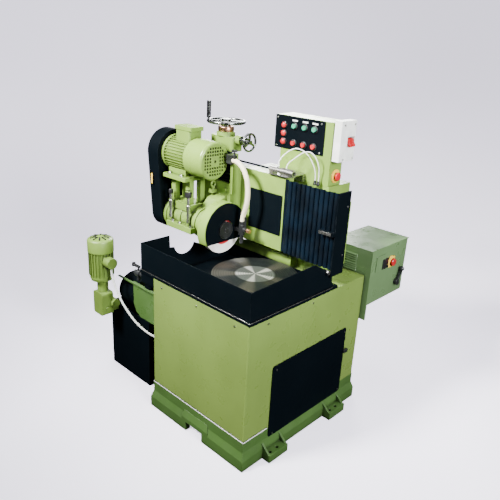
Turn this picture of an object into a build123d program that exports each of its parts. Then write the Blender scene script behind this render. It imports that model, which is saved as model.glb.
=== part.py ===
from build123d import *
import os
from math import asin, cos, pi, radians, sin, tan

# Rotary-table surface grinder.  Millimetres, +Z up.  The origin is the centre of the base on the floor:
# +X runs along the front face towards the bellows, +Y runs from the front face towards the rear column.

# ---- driving dimensions ----
CABINET_W, CABINET_D = 530, 692
BASE_H, CABINET_TOP = 118, 593
SHEET = 3
SIDE = CABINET_W / 2
FRONT, REAR = -CABINET_D / 2, CABINET_D / 2

TABLE_X, TABLE_Y, TABLE_TOP = -12, -31, 611
CHUCK_R = 175
TABLE_SHAFT_R = 30

PAN_LEFT, PAN_BOTTOM, PAN_RIM = -350, 547, 606
SPLASH_TOP = 715

SPINDLE_Y, SPINDLE_Z = -31, 747
MOTOR_Z = 1019
SHAFT_R = 19
MOTOR_SHAFT_R = 12
WHEEL_R, WHEEL_W, WHEEL_FRONT = 101, 25, -201
MOTOR_PULLEY_R, SPINDLE_PULLEY_R = 50, 34

WAY_Y = 149
SCREW_X, SCREW_Y, SCREW_R = -328, 84, 8
COLUMN_FRONT = 69.5
DOVETAIL_DEPTH = 14
SLIDE_GAP = 0.4

BELLOWS_LEFT, BELLOWS_RIGHT = 22, 265
PLEATS = 11

PANEL_Y = 199
BUTTON_R, BEZEL_R = 9, 14.5
BUTTON_COLUMNS = (-51, 1, 50)
START_Z, STOP_Z = 1175, 1108

DRUM_Y, DRUM_Z = -206, 400
RUN_GAP = 0.05
HOLE_R = 7


# ---- helpers ----
def block(x, y, z):
    size = (x[1] - x[0], y[1] - y[0], z[1] - z[0])
    return Pos(sum(x) / 2, sum(y) / 2, sum(z) / 2) * Box(*size)


def plane_at(axis, start):
    """A plane square to the axis; its own x and y run along the other two axes, in X, Y, Z order."""
    if axis == "X":
        return Plane(origin=(start, 0, 0), x_dir=(0, 1, 0), z_dir=(1, 0, 0))
    if axis == "Y":
        return Plane(origin=(0, start, 0), x_dir=(1, 0, 0), z_dir=(0, -1, 0))
    return Plane.XY.offset(start)


def raise_face(axis, face, span):
    along = {"X": (1, 0, 0), "Y": (0, 1, 0), "Z": (0, 0, 1)}[axis]
    return extrude(plane_at(axis, span[0]) * face, amount=span[1] - span[0], dir=along)


def rod(axis, at, radius, span):
    return raise_face(axis, Pos(*at) * Circle(radius), span)


def tube(axis, at, outer, inner, span):
    return rod(axis, at, outer, span) - rod(axis, at, inner, span)


def prism(axis, points, span):
    return raise_face(axis, Polygon(*points, align=None), span)


def soft_block(x, y, z, radius, axis="Z"):
    """A block whose four edges along one axis are rounded."""
    spans = {"X": (y, z, x), "Y": (x, z, y), "Z": (x, y, z)}
    a, b, along = spans[axis]
    face = Pos(sum(a) / 2, sum(b) / 2) * RectangleRounded(a[1] - a[0], b[1] - b[0], radius)
    return raise_face(axis, face, along)


def belt_shape(low_radius, high_radius, span):
    """Side view of a belt run: a round end on each pulley's axis, with tangent straight sides between."""
    rise = MOTOR_Z - SPINDLE_Z
    lean = asin((high_radius - low_radius) / rise)
    corners = []
    for side, radius, z in ((1, low_radius, SPINDLE_Z), (1, high_radius, MOTOR_Z),
                            (-1, high_radius, MOTOR_Z), (-1, low_radius, SPINDLE_Z)):
        corners.append((SPINDLE_Y + side * radius * cos(lean), z - radius * sin(lean)))
    ends = rod("X", (SPINDLE_Y, SPINDLE_Z), low_radius, span) + rod("X", (SPINDLE_Y, MOTOR_Z), high_radius, span)
    return prism("X", corners, span) + ends


def group(pieces):
    return Compound(children=[p.solid() for p in pieces])


def frame_box(x, y, z, wall):
    """A box open at its top."""
    inner = block((x[0] + wall, x[1] - wall), (y[0] + wall, y[1] - wall), (z[0] + wall, z[1] + wall))
    return block(x, y, z) - inner


def cord(name, points, radius):
    """A cord's tube: straight runs joined by arcs as large as the runs allow."""
    route = [Vector(*p) for p in points]
    runs = [b - a for a, b in zip(route, route[1:])]
    radii = []
    for before, after in zip(runs, runs[1:]):
        half_turn = radians(before.get_angle(after)) / 2
        radii.append(0.45 * min(before.length, after.length) / tan(half_turn))
    path = FilletPolyline(*route, radius=radii)
    profile = Plane(origin=path @ 0, z_dir=path % 0) * Circle(radius)
    solid = sweep(profile, path=path)
    section = pi * radius**2
    print(name, "length", round(path.length), "radii", [round(r) for r in radii])
    print("  volume over section times length", round(solid.volume / section / path.length, 4))
    return solid


# ---- base and cabinet ----
def skirt_piece(x, y, foot_z, wall_z, reach):
    """A plinth with upright sides up to foot_z and sides that slope in to the wall at wall_z."""
    wide = Pos(sum(x) / 2, sum(y) / 2) * Rectangle(x[1] - x[0] + 2 * reach, y[1] - y[0] + 2 * reach)
    narrow = Pos(sum(x) / 2, sum(y) / 2) * Rectangle(x[1] - x[0], y[1] - y[0])
    foot = extrude(wide, amount=foot_z)
    return foot + loft([Pos(0, 0, foot_z) * wide, Pos(0, 0, wall_z) * narrow])


LUGS_Y = ((-246, -140), (131, 237))
ANCHORS_Y = (-226, -186, 152, 192)
ANCHOR_X = 295
LUG_REACH = 312


def base_casting():
    body = skirt_piece((-SIDE, SIDE), (FRONT, REAR), 45, 75, 10)
    body += block((-SIDE, SIDE), (FRONT, REAR), (40, BASE_H))
    for side_y in (FRONT, REAR):
        body += skirt_piece((-62, 74), (side_y - 1, side_y + 1), 58, 88, 9)
    for sign in (-1, 1):
        for low, high in LUGS_Y:
            reach = sorted((sign * (SIDE - 5), sign * LUG_REACH))
            body += block(reach, (low, high), (0, 33))
            for rib in (low, high - 9):
                profile = [(sign * (SIDE - 1), 30), (sign * (LUG_REACH - 7), 33), (sign * SIDE, 69)]
                body += prism("Y", profile, (rib, rib + 9))
    body -= block((-SIDE + 14, SIDE - 14), (FRONT + 14, REAR - 14), (-1, BASE_H - 12))
    body -= block((-150, 150), (-200, 200), (BASE_H - 13, BASE_H + 1))
    body += block((-SIDE + 14, SIDE - 14), (-8, 8), (0, BASE_H - 12))
    body += block((-8, 8), (FRONT + 60, REAR - 60), (0, BASE_H - 12))
    for side_y in (FRONT, REAR):
        body -= block((-45, 50), (side_y - 20, side_y + 20), (-1, 40))
    for sign in (-1, 1):
        for y in ANCHORS_Y:
            body -= rod("Z", (sign * ANCHOR_X, y), HOLE_R, (-1, 80))
    return body


COVER_Y, COVER_Z = (-211.5, 248), (75, 385)
CABLE_ENTRY = (-262, 262)


def cabinet_shell():
    wall = 5
    shell = soft_block((-SIDE, SIDE), (FRONT, REAR), (BASE_H, CABINET_TOP), 7)
    shell -= block((-SIDE + wall, SIDE - wall), (FRONT + wall, REAR - wall), (BASE_H - 1, CABINET_TOP - wall))
    shell -= block((-SIDE + wall, SIDE - wall), (FRONT + wall, 150.5), (CABINET_TOP - wall - 1, CABINET_TOP + 1))
    shell -= block((-SIDE - 1, -SIDE + wall + 1), (FRONT + wall, 150.5), (PAN_BOTTOM, CABINET_TOP + 1))
    shell -= block((SIDE - wall - 1, SIDE + 1), (COVER_Y[0] + 15, COVER_Y[1] - 15), (132, COVER_Z[1] - 15))
    shell -= rod("X", CABLE_ENTRY, 6, (-SIDE - 1, -SIDE + wall + 1))
    return shell


def access_cover():
    return soft_block((SIDE, SIDE + 3), COVER_Y, COVER_Z, 10, "X")


def screw(axis, at, radius, start, height):
    return rod(axis, at, radius, (start, start + height) if height > 0 else (start + height, start))


def panel_screws():
    heads = [("X", (COVER_Y[0] + 21, 366), SIDE + 3, 2), ("X", (COVER_Y[0] + 23, 84), SIDE + 3, 2)]
    heads += [("X", (COVER_Y[1] - 13, 88), SIDE + 3, 2), ("X", (COVER_Y[1] - 10, 368), SIDE + 3, 2)]
    heads += [("X", (150, 926), 269, 2), ("X", (147, 734), 269, 2)]
    heads += [("X", (224, 1205), MCB_FACE, 2), ("X", (291, 1206), MCB_FACE, 2)]
    heads += [("X", (230, 1075), MCB_FACE, 2), ("X", (295, 1076), MCB_FACE, 2)]
    heads += [("Y", (x, 570), FRONT, -1.5) for x in (-209, -4, 195)]
    heads += [("X", (y, 575), SIDE, 1.5) for y in (-251, -1)]
    heads += [("Y", (x, z), PANEL_Y - 3, -1.5) for x in (-142, 80) for z in (1088, 1200)]
    screws = [screw(axis, at, 4, start, height) for axis, at, start, height in heads]
    return group(screws + [screw("X", (72, 680), 9, SIDE - 5.5, 12)])


# ---- coolant pan, splash walls and drain ----
def left_wall_outline():
    """Side view of the left splash wall, with a round notch under the wheelhead."""
    outer = [(-340.5, PAN_BOTTOM), (-340.5, SPLASH_TOP), (-199, SPLASH_TOP), (-196, 662), (-171, 658)]
    notch = [(-119 + 56 * cos(a), 672 - 55 * sin(a)) for a in [radians(15 * k) for k in range(11, 0, -1)]]
    return outer + notch + [(-39, 646), (150, 646), (150, PAN_BOTTOM)]


def coolant_pan():
    x, y = (PAN_LEFT, SIDE - 5.5), (FRONT + 5.5, 150)
    pan = frame_box(x, y, (PAN_BOTTOM, PAN_RIM), SHEET)
    lip = block((PAN_LEFT, SIDE), (FRONT, y[0] + SHEET), (CABINET_TOP, PAN_RIM))
    lip += block((x[1] - SHEET, SIDE), (FRONT, 150), (CABINET_TOP, PAN_RIM))
    front = block((PAN_LEFT, x[1]), (y[0], y[0] + SHEET), (PAN_RIM, SPLASH_TOP))
    right_side = [(y[0], CABINET_TOP), (y[0], SPLASH_TOP), (-6, 727), (66, 692), (108, 672), (119, 608), (119, CABINET_TOP)]
    right = prism("X", right_side, (x[1] - SHEET, x[1]))
    left = prism("X", left_wall_outline(), (PAN_LEFT, PAN_LEFT + SHEET))
    pan = pan + lip + front + right + left
    pan -= rod("Z", (TABLE_X, TABLE_Y), 52, (PAN_BOTTOM - 1, PAN_BOTTOM + 10))
    pan += tube("Z", (TABLE_X, TABLE_Y), 52, 49, (PAN_BOTTOM, PAN_BOTTOM + 9))
    pan -= block((-326, -295), (-328, -296), (PAN_BOTTOM - 1, PAN_BOTTOM + 4))
    chute = [(-290, PAN_BOTTOM), (-330, PAN_BOTTOM), (-342, 520), (-306, 520)]
    spout = prism("Y", chute, (-332, -292))
    spout -= prism("Y", [(-292, 549), (-328, 549), (-339, 518), (-309, 518)], (-329, -295))
    return pan + spout


TAP_AT, TAP_Z = (-394, -322), 564


def tray_tap_lever():
    """Quarter-turn lever on the pan's outlet tap."""
    x, y = TAP_AT
    stem = rod("Z", TAP_AT, 4, (TAP_Z + 14.5, TAP_Z + 26))
    arm = soft_block((x - 40, x + 8), (y - 7, y + 7), (TAP_Z + 26, TAP_Z + 32), 5)
    return stem + arm + rod("Z", (x - 34, y), 8, (TAP_Z + 23, TAP_Z + 37))


# ---- rotary magnetic chuck and its drive ----
def chuck_plate():
    plate = rod("Z", (TABLE_X, TABLE_Y), CHUCK_R, (583, TABLE_TOP))
    for radius in range(20, 171, 10):
        groove = tube("Z", (TABLE_X, TABLE_Y), radius + 0.7, radius - 0.7, (TABLE_TOP - 0.8, TABLE_TOP + 1))
        plate -= groove
    return plate


def chuck_spindle():
    body = rod("Z", (TABLE_X, TABLE_Y), 162, (563, 583))
    body += rod("Z", (TABLE_X, TABLE_Y), 46, (549, 563))
    body += rod("Z", (TABLE_X, TABLE_Y), TABLE_SHAFT_R, (300, 549))
    pulley = rod("Z", (TABLE_X, TABLE_Y), 85, (268, 300)) - tube("Z", (TABLE_X, TABLE_Y), 90, 76, (277, 291))
    return body + pulley


CYLINDER_AT = (172, 820)


def internal_drives():
    """Table bearing housing on its cross plate, table motor with its foot, and the cross-feed cylinder barrel."""
    housing = rod("Z", (TABLE_X, TABLE_Y), 58, (320, 520)) + rod("Z", (TABLE_X, TABLE_Y), 95, (320, 336))
    housing += block((-SIDE + 5, SIDE - 5), (-110, 48), (308, 320))
    housing -= rod("Z", (TABLE_X, TABLE_Y), TABLE_SHAFT_R + RUN_GAP, (300, 530))
    motor = rod("Z", (60, 190), 62, (118 + 150, 118 + 330)) + rod("Z", (60, 190), 12, (240, 268))
    motor += rod("Z", (60, 190), 30, (236, 250)) + block((-30, 150), (250, REAR - 5), (300, 420))
    motor += block((20, 100), (190, 251), (300, 420))
    barrel = rod("X", CYLINDER_AT, 20, (-110, 240)) - rod("X", CYLINDER_AT, 16, (-111, 234))
    return group([housing, motor, barrel])


# ---- fixed rear column, way covers, stroke sensor ----
def rear_column():
    column = block((-295, 140), (200, REAR), (CABINET_TOP, 965))
    column += block((-330, 17), (154, 200), (CABINET_TOP, 646))
    for low, high in ((690, 745), (885, 940)):
        column += block((-295, SIDE), (153, 176), (low, high))
        column += block((-295, 140), (176, 200), (low, high))
        column += block((-295, SIDE), (WAY_Y + SLIDE_GAP, 153), (low + 12, low + 48))
    column += block((240, SIDE), (153, 176), (745, 885))
    column -= block((-270, 115), (225, REAR - 20), (CABINET_TOP + 25, 940))
    return column


def pleat_outline(front, depth):
    """Plan view of the pleated sheet between its two ends."""
    pitch = (BELLOWS_RIGHT - BELLOWS_LEFT) / PLEATS
    ridge = []
    for k in range(PLEATS):
        ridge.append((BELLOWS_LEFT + pitch * k, front + depth))
        ridge.append((BELLOWS_LEFT + pitch * (k + 0.5), front))
    flange = [(3.5, 109), (3.5, front + depth + 2), (BELLOWS_LEFT - 1, front + depth + 2)]
    return flange + ridge + [(BELLOWS_RIGHT, front + depth), (BELLOWS_RIGHT, 109)]


def bellows():
    return prism("Z", pleat_outline(88, 9), (683, 985))


def bellows_end_plate():
    plate = block((SIDE, SIDE + 4), (86, 165), (657, 985))
    roller = rod("X", (77, 829), 9, (208, 258)) + rod("X", (77, 829), 4, (200, 262))
    return plate + roller + block((262, SIDE + 4), (72, 90), (821, 837))


def sensor_bracket():
    """Stroke sensor: a sleeve round the stroke rod, on an arm from the rear column's top."""
    arm = block((-80, 20), (86, 198), (992, 996)) + block((-80, 20), (184, 198), (965, 992))
    sleeve = tube("X", (99, 1011), 14, 8, (-18, 43)) + tube("X", (99, 1011), 11, 8, (-80, -18))
    clamp_1 = block((-74, -54), (85, 113), (996, 1012)) - rod("X", (99, 1011), 10, (-80, -40))
    saddle = block((-18, 43), (90, 108), (996, 1003)) - rod("X", (99, 1011), 13.5, (-20, 45))
    heads = [rod("Z", (x, 104), 5, (1018, 1025)) for x in (-46, -2)]
    heads = [head - rod("X", (99, 1011), 10.5, (-80, 45)) for head in heads]
    body = arm + sleeve + clamp_1 + saddle
    return body + heads[0] + heads[1]


SENSOR_CABLE_R = 2.2
SENSOR_CABLES = {
    "sensor_cable_1": [(-46, 104, 1025), (-46, 104, 1043), (-35, 122, 1072), (-10, 147, 1098), (14, 159, 1098),
                       (38, 167, 1087), (60, 172, 1066), (74, 178, 1039), (82, 184, 1012), (82, 184, 983)],
    "sensor_cable_2": [(-2, 104, 1025), (-2, 104, 1041), (18, 120, 1063), (42, 141, 1090), (64, 154, 1097),
                       (84, 162, 1085), (97, 169, 1062), (102, 176, 1036), (98, 184, 1010), (98, 184, 983)],
}


# ---- control pedestal ----
CASE_RIGHT = 134
ESTOPS = {"estop_column": (CASE_RIGHT, 242, 1003), "estop_cabinet": (283, 515, 620)}


def control_pedestal():
    post = block((-120, CASE_RIGHT), (PANEL_Y, 279), (965, 1078))
    post -= rod("X", ESTOPS["estop_column"][1:], 8.5, (CASE_RIGHT - 12, CASE_RIGHT + 1))
    case = soft_block((-152, CASE_RIGHT), (PANEL_Y, 300), (1078, 1212), 4, "Y")
    case -= block((-146, 90), (PANEL_Y - 1, 290), (1084, 1206))
    return post + case


def button_places():
    starts = [(x, START_Z) for x in BUTTON_COLUMNS]
    return starts + [(x, STOP_Z) for x in BUTTON_COLUMNS]


LAMP_X, LAMPS_Z = -104, (1174, 1141, 1108)


def control_panel():
    plate = block((-152, 97), (PANEL_Y - 3, PANEL_Y), (1080, 1211))
    for x, z in button_places():
        plate -= rod("Y", (x, z), BUTTON_R + 0.5, (PANEL_Y - 4, PANEL_Y + 1))
    return plate


def panel_fittings():
    """Bezels, lamps, emergency-stop collars, cable glands and the pan's tap body."""
    face = PANEL_Y - 3
    parts = [tube("Y", (x, z), BEZEL_R, BUTTON_R + 0.5, (face - 4, face)) for x, z in button_places()]
    parts += [rod("Y", (LAMP_X, z), BEZEL_R, (face - 8, face)) for z in LAMPS_Z]
    for x, y, z in ESTOPS.values():
        parts.append(tube("X", (y, z), 27, 8.5, (x, x + 4)))
    parts += [rod("Z", (x, 184), 6, (965, 983)) for x in (82, 98)]
    parts.append(rod("X", CABLE_ENTRY, 11, (-283, -SIDE)) + rod("X", CABLE_ENTRY, 6, (-SIDE, -255)))
    tap = rod("X", (TAP_AT[1], TAP_Z), 9, (-420, PAN_LEFT)) + rod("X", (TAP_AT[1], TAP_Z), 14, (-406, -380))
    tap += rod("Z", TAP_AT, 8, (TAP_Z - 30, TAP_Z + 13))
    parts.append(tap)
    return group(parts)


def push_button(x, z):
    return rod("Y", (x, z), BUTTON_R, (PANEL_Y - 14, PANEL_Y + 10))


def estop(x, y, z):
    """Mushroom head on its stem; it is pushed along -X."""
    return rod("X", (y, z), 17, (x + 9, x + 19)) + rod("X", (y, z), 8, (x + 0.5, x + 9))


MCB_FACE = 168


def mcb_box():
    box = soft_block((CASE_RIGHT, MCB_FACE), (204, 304), (1066, 1220), 4, "Z")
    box -= block((CASE_RIGHT + 6, MCB_FACE + 1), (250, 296), (1120, 1160))
    return box


def mcb_toggle():
    """Breaker toggle: a round barrel across the window with a flat finger."""
    x = MCB_FACE - 13
    barrel = rod("Y", (x, 1140), 13, (251, 295))
    finger = prism("Y", [(x + 4, 1134), (x + 22, 1122), (x + 23, 1128), (x + 9, 1145)], (253, 293))
    return barrel + finger


# ---- electrical cabinet ----
ELEC_X, ELEC_Y, ELEC_Z = (75, 283), (352, 639), (456, 700)


def electrical_cabinet():
    cabinet = block(ELEC_X, ELEC_Y, ELEC_Z)
    cabinet -= block((ELEC_X[0] + 3, ELEC_X[1] - 3), (ELEC_Y[0] + 3, ELEC_Y[1] - 3), (ELEC_Z[0] + 3, ELEC_Z[1] - 3))
    cabinet += block((ELEC_X[0], ELEC_X[1] + 3), (REAR, ELEC_Y[1] + 3), (ELEC_Z[1], ELEC_Z[1] + 4))
    cabinet += block((70, 289), (REAR, ELEC_Y[0]), (392, ELEC_Z[1]))
    for group_low in (602, 642):
        for k in range(4):
            low = group_low + 9 * k
            cabinet += prism("X", [(REAR, low), (REAR - 6, low), (REAR, low + 6)], (150, 218))
    cabinet -= rod("X", ESTOPS["estop_cabinet"][1:], 8.5, (ELEC_X[1] - 4, ELEC_X[1] + 1))
    return cabinet + block((ELEC_X[1], ELEC_X[1] + 3), (392, 462), (600, 668))


def isolator_lever():
    """Handle of the isolator on the cabinet's side: a boss and a bent arm with a ball."""
    boss = rod("X", (578, 508), 14, (ELEC_X[1] + 0.5, ELEC_X[1] + 16))
    arm = prism("X", [(572, 510), (583, 505), (604, 560), (595, 564)], (ELEC_X[1] + 8, ELEC_X[1] + 16))
    return boss + arm + Pos(ELEC_X[1] + 12, 601, 566) * Sphere(12)


def cover_latch():
    shaft = rod("X", (258, 272), 5, (SIDE + 0.5, SIDE + 10))
    return shaft + soft_block((SIDE + 4, SIDE + 10), (240, 270), (264, 280), 4, "X")


# ---- coolant tank and magnetic separator ----
def separator_tank():
    tank = block((-676, -387), (-280, 174), (0, 325))
    tank -= block((-672, -391), (-276, 170), (4, 326))
    return tank


TROUGH_REAR, GUARD_END = -60, -498


def separator_trough():
    outline = [(-597, 480), (-280, 480), (-280, 325), (-448, 325), (-480, 342), (-500, 380), (-506, 440), (-597, 440)]
    trough = prism("Y", outline, (-279, TROUGH_REAR))
    inner = [(-500, 490), (-284, 490), (-284, 329), (-446, 329), (-476, 345), (-496, 382), (-502, 440)]
    trough -= prism("Y", inner, (-275, TROUGH_REAR - 4))
    trough += block((-597, -280), (-290, -279), (474, 480))
    drum_bay = block((-620, GUARD_END), (DRUM_Y - 76, DRUM_Y + 76), (320, 490))
    return trough - drum_bay


DRUM_SPAN = (-598, -512)


def drum_guard():
    """Round hood over the magnetic drum, open below and towards the trough, with a shaft hole."""
    x = (DRUM_SPAN[0] - 8, GUARD_END)
    hood = tube("X", (DRUM_Y, DRUM_Z), 75, 71, x)
    hood += rod("X", (DRUM_Y, DRUM_Z), 75, (x[0], x[0] + 4))
    hood -= block((x[0] + 4, x[1] + 1), (DRUM_Y - 40, DRUM_Y + 40), (DRUM_Z - 80, DRUM_Z - 50))
    hood -= rod("X", (DRUM_Y, DRUM_Z), 12, (x[0] - 1, x[0] + 5))
    hood -= rod("X", (DRUM_Y, DRUM_Z), 71, (x[0] + 4, x[1] + 1))
    return hood


def separator_drum():
    return rod("X", (DRUM_Y, DRUM_Z), 62, DRUM_SPAN) + rod("X", (DRUM_Y, DRUM_Z), 10, (-616, DRUM_SPAN[0]))


GEARMOTOR = (-640, -346)
GEARMOTOR_TOP = 660


def separator_gearmotor():
    x, y = GEARMOTOR
    motor = rod("Z", GEARMOTOR, 50, (474, 600)) + rod("Z", GEARMOTOR, 55, (595, GEARMOTOR_TOP - 14))
    motor += Pos(x, y, GEARMOTOR_TOP - 8) * Cone(55, 34, 12)
    for k in range(24):
        angle = 2 * pi * k / 24
        fin = Rot(0, 0, 15 * k) * block((49, 54.5), (-1.5, 1.5), (488, 595))
        motor += Pos(x, y, 0) * fin
    motor += rod("Z", GEARMOTOR, 46, (464, 474)) + rod("Z", (x + 4, y), 24, (400, 470))
    motor += rod("X", (y, 560), 24, (x + 45, x + 90))
    gearbox = soft_block((x - 28, x + 44), (y - 30, y + 26), (300, 408), 12, "Y")
    gearbox += rod("X", (y - 4, 332), 9, (x + 44, x + 51))
    gearbox += rod("X", (y + 30, 352), 20, (x + 20, x + 60))
    gearbox += block((x - 20, x + 20), (y + 26, -280), (300, 324))
    return motor + gearbox


SEPARATOR_CABLE_R = 4.6


# ---- cross carriage ----
def dovetail(gap=0.0):
    """Plan view of the vertical dovetail; gap grows it on every side for the female half."""
    tip, root = COLUMN_FRONT - DOVETAIL_DEPTH - gap, COLUMN_FRONT + 2 * gap
    return [(SCREW_X - 57 - gap, tip), (SCREW_X + 57 + gap, tip), (SCREW_X + 45 + gap, root), (SCREW_X - 45 - gap, root)]


COLUMN_X = (-405, -240)


def carriage():
    plate = block((-355, 3), (99, WAY_Y), (680, 988))
    column = block(COLUMN_X, (COLUMN_FRONT, 99), (680, 990))
    column += prism("Z", dovetail(), (690, 990))
    channel = block((SCREW_X - 16.5, SCREW_X + 16.5), (40, SCREW_Y + 16.5), (704, 991))
    bearing = rod("Z", (SCREW_X, SCREW_Y), SCREW_R + RUN_GAP, (679, 705))
    return plate + column - channel - bearing


def carriage_fittings():
    """Black cover panel, stroke rod on its lug, and the cross-feed piston rod."""
    panel = block((-183, -6), (96.5, 99), (744, 912))
    lug = block((-305, -294), (89, 109), (990, 1018)) + rod("X", (99, 1011), 4, (-294, -72))
    piston = rod("X", CYLINDER_AT, 9, (-280, -90)) + rod("X", CYLINDER_AT, 15.9, (-90, -70))
    piston += block((-290, -280), (WAY_Y, 190), (800, 840))
    return group([panel, lug, piston])


def elevating_housing():
    """Neck on the column's top, gear case, worm boss and the fixed flange under the graduated ring."""
    neck = block((-395, -306), (71, 103), (990, 1050))
    case = soft_block((-392, -255), (52, 116), (1050, 1108), 14)
    case += rod("X", (SCREW_Y, 1098), 19, (-262, -232))
    case += rod("Z", (SCREW_X, SCREW_Y), 39, (1108, 1125))
    bore = rod("Z", (SCREW_X, SCREW_Y), SCREW_R + RUN_GAP, (980, 1130))
    worm_bore = rod("X", (SCREW_Y, 1098), 7 + RUN_GAP, (-290, -230))
    return neck + case - bore - worm_bore


def elevating_screw():
    return rod("Z", (SCREW_X, SCREW_Y), SCREW_R, (682, 1125.5))


HANDWHEEL_R, HANDWHEEL_Z = 78, 1165


def elevating_handwheel():
    ring = rod("Z", (SCREW_X, SCREW_Y), 32.5, (1125.5, 1146))
    hub = rod("Z", (SCREW_X, SCREW_Y), 20, (1146, 1176))
    rim = Pos(SCREW_X, SCREW_Y, HANDWHEEL_Z) * Torus(HANDWHEEL_R - 3, 7)
    wheel = ring + hub + rim
    for k in range(4):
        spoke = Rot(0, 0, 90 * k + 42) * block((10, HANDWHEEL_R - 4), (-7, 7), (-4, 4))
        wheel += Pos(SCREW_X, SCREW_Y, HANDWHEEL_Z) * spoke
    reach = HANDWHEEL_R - 4
    grip = (SCREW_X - reach * cos(radians(43)), SCREW_Y - reach * sin(radians(43)))
    wheel += rod("Z", grip, 5, (HANDWHEEL_Z, 1180))
    wheel += rod("Z", grip, 9, (1178, 1245))
    return wheel


def fine_feed_handwheel():
    x, at = -193, (SCREW_Y, 1098)
    wheel = rod("X", at, 7, (-285, x)) + rod("X", at, 16, (-231.5, -206)) + rod("X", at, 9, (-206, x + 12))
    wheel += Pos(x + 4, *at) * Rot(0, 90, 0) * Torus(35, 4.6)
    for k in range(3):
        spoke = Rot(120 * k, 0, 0) * block((0, 7), (-4, 4), (5, 34))
        wheel += Pos(x, *at) * spoke
    return wheel


# ---- wheelhead ----
def head_slide():
    plate = block(COLUMN_X, (37, COLUMN_FRONT - SLIDE_GAP), (690, 920))
    plate -= prism("Z", dovetail(SLIDE_GAP), (689, 921))
    plate += block((-243, -228), (35, 64), (880, 1048))
    nut = block((SCREW_X - 14, SCREW_X + 14), (COLUMN_FRONT - DOVETAIL_DEPTH - 1.5, SCREW_Y + 14), (762, 802))
    nut -= rod("Z", (SCREW_X, SCREW_Y), SCREW_R + 0.1, (760, 804))
    eye = Pos(-333, 24, 905) * Rot(0, 90, 0) * Torus(11, 4)
    eye += rod("Z", (-333, 24), 8, (880, 896)) + block((-345, -321), (10, 37), (868, 884))
    bolt = rod("Y", (-270, 890), 9, (28, 37))
    return plate + nut + eye + bolt


def spindle_housing():
    barrel = rod("X", (SPINDLE_Y, SPINDLE_Z), 62, (-505, -245))
    for left in (-520, -425, -330):
        barrel += rod("X", (SPINDLE_Y, SPINDLE_Z), 66, (left, left + 18))
    ledge = block((-467, -305), (-121, -60), (714, 738))
    arm_side = [(37, 692), (37, 866), (-2, 850), (-40, 806), (-60, 780), (-31, 740)]
    arm = prism("X", arm_side, (-340, -262))
    rear_web = prism("X", [(37, 700), (37, 790), (-40, 806), (-31, 740)], (-500, -340))
    saddle = block((-496, -350), (-84, 10), (790, 822))
    body = barrel + ledge + arm + rear_web + saddle
    return body - rod("X", (SPINDLE_Y, SPINDLE_Z), SHAFT_R + RUN_GAP, (-530, -240))


def motor_bracket():
    """Motor plate on four posts, with the belt-tension studs and their knob."""
    plate = soft_block((-505, -360), (-111, 44), (923, 939), 5)
    for x in (-486, -392):
        for y in (-78, -18):
            plate += block((x, x + 26), (y, y + 24), (822, 923))
    stud = rod("Z", (-462, -101), 6, (738, 866)) + rod("Z", (-462, -101), 7.9, (738, 750))
    knob_stud = rod("Z", (-346, -101), 6, (738, 862)) + rod("Z", (-346, -101), 7.9, (738, 750))
    knob_stud += rod("Z", (-346, -101), 13, (862, 890))
    return group([plate, stud, knob_stud])


def motor_frame():
    """Finned motor body with feet, end shields, a terminal box and a hollow for the rotor."""
    at = (SPINDLE_Y, MOTOR_Z)
    body = rod("X", at, 68, (-515, -375))
    for k in range(36):
        if 250 <= 10 * k <= 290:
            continue
        fin = Rot(10 * k, 0, 0) * block((-505, -380), (60, 74), (-1.6, 1.6))
        body += Pos(0, *at) * fin
    body += rod("X", at, 76, (-518, -505))
    for y in (-85, 3):
        body += block((-495, -385), (y, y + 20), (939, 965))
    box = soft_block((-466, -378), (-74, -4), (1070, 1126), 8)
    box += soft_block((-474, -368), (-76, -2), (1126, 1142), 8)
    body += box
    body -= rod("X", at, 44, (-500, -374))
    body -= rod("X", at, MOTOR_SHAFT_R + RUN_GAP, (-520, -370))
    return body


def round_front(body, radius):
    """Rounds the edge of a rod's +X end."""
    return fillet(body.edges().sort_by(Axis.X)[-1], radius)


def motor_fan_cover():
    """Fan cowl with a grid of square air holes round a blank centre."""
    at = (SPINDLE_Y, MOTOR_Z)
    cowl = round_front(rod("X", at, 79, (-375, -265)), 12) - round_front(rod("X", at, 76, (-376, -268)), 10)
    pitch, hole = 13.4, 8.6
    cutters = []
    for i in range(-4, 5):
        for j in range(-4, 5):
            y, z = i * pitch, j * pitch
            if 26 < (y * y + z * z) ** 0.5 < 61:
                low_y, low_z = at[0] + y - hole / 2, at[1] + z - hole / 2
                cutters.append(block((-269, -264), (low_y, low_y + hole), (low_z, low_z + hole)))
    cowl -= rod("X", at, 5.5, (-269, -264))
    return cowl.cut(*cutters)


def motor_rotor():
    at = (SPINDLE_Y, MOTOR_Z)
    rotor = rod("X", at, MOTOR_SHAFT_R, (-578, -290)) + rod("X", at, 38, (-490, -395))
    fan = rod("X", at, 66, (-340, -336))
    for k in range(8):
        fan += Pos(0, *at) * (Rot(45 * k, 0, 0) * block((-338, -300), (18, 64), (-1.5, 1.5)))
    fan += rod("X", at, 20, (-336, -300))
    return rotor + fan + drive_pulley(MOTOR_Z, MOTOR_PULLEY_R)


def drive_pulley(z, radius):
    groove = tube("X", (SPINDLE_Y, z), radius + 5, radius - 6.5, (-562, -548))
    return rod("X", (SPINDLE_Y, z), radius, (-570, -540)) - groove


def drive_belt():
    outer = belt_shape(SPINDLE_PULLEY_R + 2, MOTOR_PULLEY_R + 2, (-561.5, -548.5))
    return outer - belt_shape(SPINDLE_PULLEY_R - 6, MOTOR_PULLEY_R - 6, (-562, -548))


GUARD_FOOT = 688


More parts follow.
